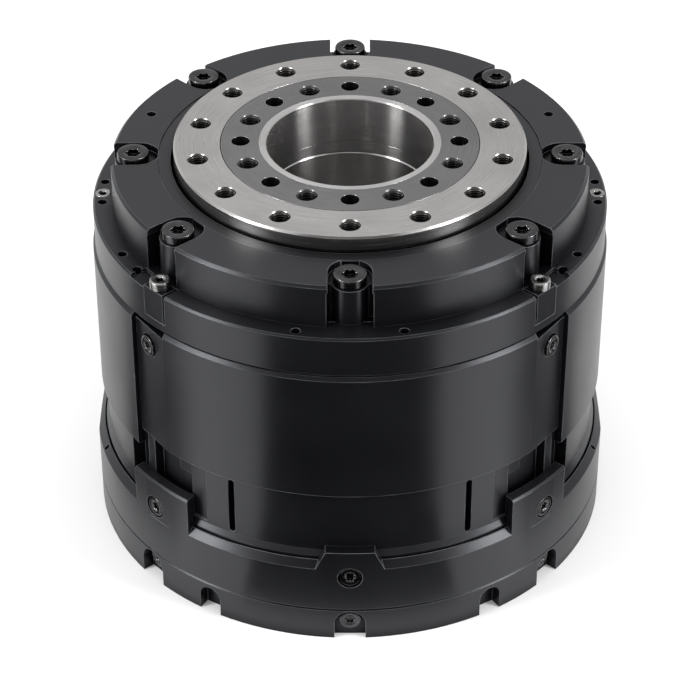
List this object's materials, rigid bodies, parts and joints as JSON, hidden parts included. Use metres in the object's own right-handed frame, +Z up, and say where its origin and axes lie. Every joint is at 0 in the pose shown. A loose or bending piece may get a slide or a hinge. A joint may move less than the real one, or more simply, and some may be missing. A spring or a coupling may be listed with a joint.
{
  "type": "robot joint actuator",
  "caption": "Hollow-shaft rotary joint actuator: round anodised housing, bolted front cover, turning output flange and a central cable bore.",
  "frame": {"origin": "on the joint axis at the resting face of the foot", "axes": "+Z up the joint axis out of the output flange, -Y towards the front tab, +X to the right seen from the front"},
  "size_m": [0.142, 0.142, 0.1115],
  "materials": {
    "anodised_dark": "satin anodised",
    "flange_steel": "brushed",
    "hub_steel": "satin",
    "bright_steel": "polished",
    "screw_black": "black oxide",
    "screw_silver": "zinc",
    "bearing_steel": "ground",
    "gear_steel": "machined",
    "seal_rubber": "matte",
    "laminations": "varnished",
    "copper": "enamelled wire",
    "magnet": "nickel plated",
    "friction": "matte",
    "board": "solder mask",
    "chips": "matte"
  },
  "bodies": {
    "housing": {"foot": "anodised_dark", "base_ring": "anodised_dark", "main_housing": "anodised_dark", "front_shroud": "anodised_dark", "rear_shroud": "anodised_dark", "right_shroud": "anodised_dark", "left_shroud": "anodised_dark", "flange_ring": "anodised_dark", "ring_inserts": "anodised_dark", "front_cover": "anodised_dark", "seal_retainer": "anodised_dark", "bearing_carrier": "anodised_dark", "foot_screws": "screw_black", "case_screws": "screw_black", "cover_screws": "screw_black", "flexspline_screws": "screw_black", "brake_screws": "screw_black", "tab_screws": "screw_silver", "shroud_screws": "screw_silver", "ring_screws": "screw_silver", "carrier_snap_ring": "screw_silver", "board_standoffs": "screw_silver", "brake_spacers": "screw_silver", "bearing_outer_ring": "bearing_steel", "lower_bearing_outer": "bearing_steel", "flexspline": "gear_steel", "brake_housing": "gear_steel", "brake_plate": "gear_steel", "output_seal": "seal_rubber", "tube_seal": "seal_rubber", "stator_core": "laminations", "stator_coils": "copper", "brake_coil": "copper", "encoder_board": "board", "drive_board": "board", "board_parts": "chips"},
    "output": {"output_flange": "flange_steel", "output_hub": "hub_steel", "bore_sleeve": "bright_steel", "tube_collar": "bright_steel", "cable_tube": "bright_steel", "bearing_inner_ring": "bearing_steel", "output_screws": "screw_black", "circular_spline": "gear_steel", "upper_bearing_outer": "bearing_steel", "output_encoder_disc": "bright_steel"},
    "rotor": {"input_shaft": "bright_steel", "wave_outer_race": "bearing_steel", "wave_balls": "bearing_steel", "wave_inner_race": "bearing_steel", "wave_plug": "gear_steel", "upper_bearing_inner": "bearing_steel", "lower_bearing_inner": "bearing_steel", "input_bearing_balls": "bearing_steel", "rotor_yoke": "gear_steel", "magnets": "magnet", "brake_disc": "friction", "encoder_disc": "bright_steel"},
    "roller_set": {"crossed_rollers": "bearing_steel"},
    "armature": {"brake_armature": "gear_steel"}
  },
  "joints": [
    {"name": "output_turn", "type": "hinge", "parent": "housing", "child": "output", "pos_m": [0, 0, 0.0891], "axis": [0, 0, 1], "continuous": true},
    {"name": "rotor_turn", "type": "hinge", "parent": "housing", "child": "rotor", "pos_m": [0, 0, 0.0413], "axis": [0, 0, 1], "continuous": true},
    {"name": "roller_turn", "type": "hinge", "parent": "housing", "child": "roller_set", "pos_m": [0, 0, 0.0891], "axis": [0, 0, 1], "continuous": true},
    {"name": "armature_slide", "type": "slide", "parent": "housing", "child": "armature", "axis": [0, 0, 1], "range_m": [0, 0.00025], "stiffness_N_per_m": 2000, "springref_m": -0.002}
  ],
  "couplings": [
    {"joint": "rotor_turn", "follows": "output_turn", "ratio": 51},
    {"joint": "roller_turn", "follows": "output_turn", "ratio": 0.5}
  ]
}
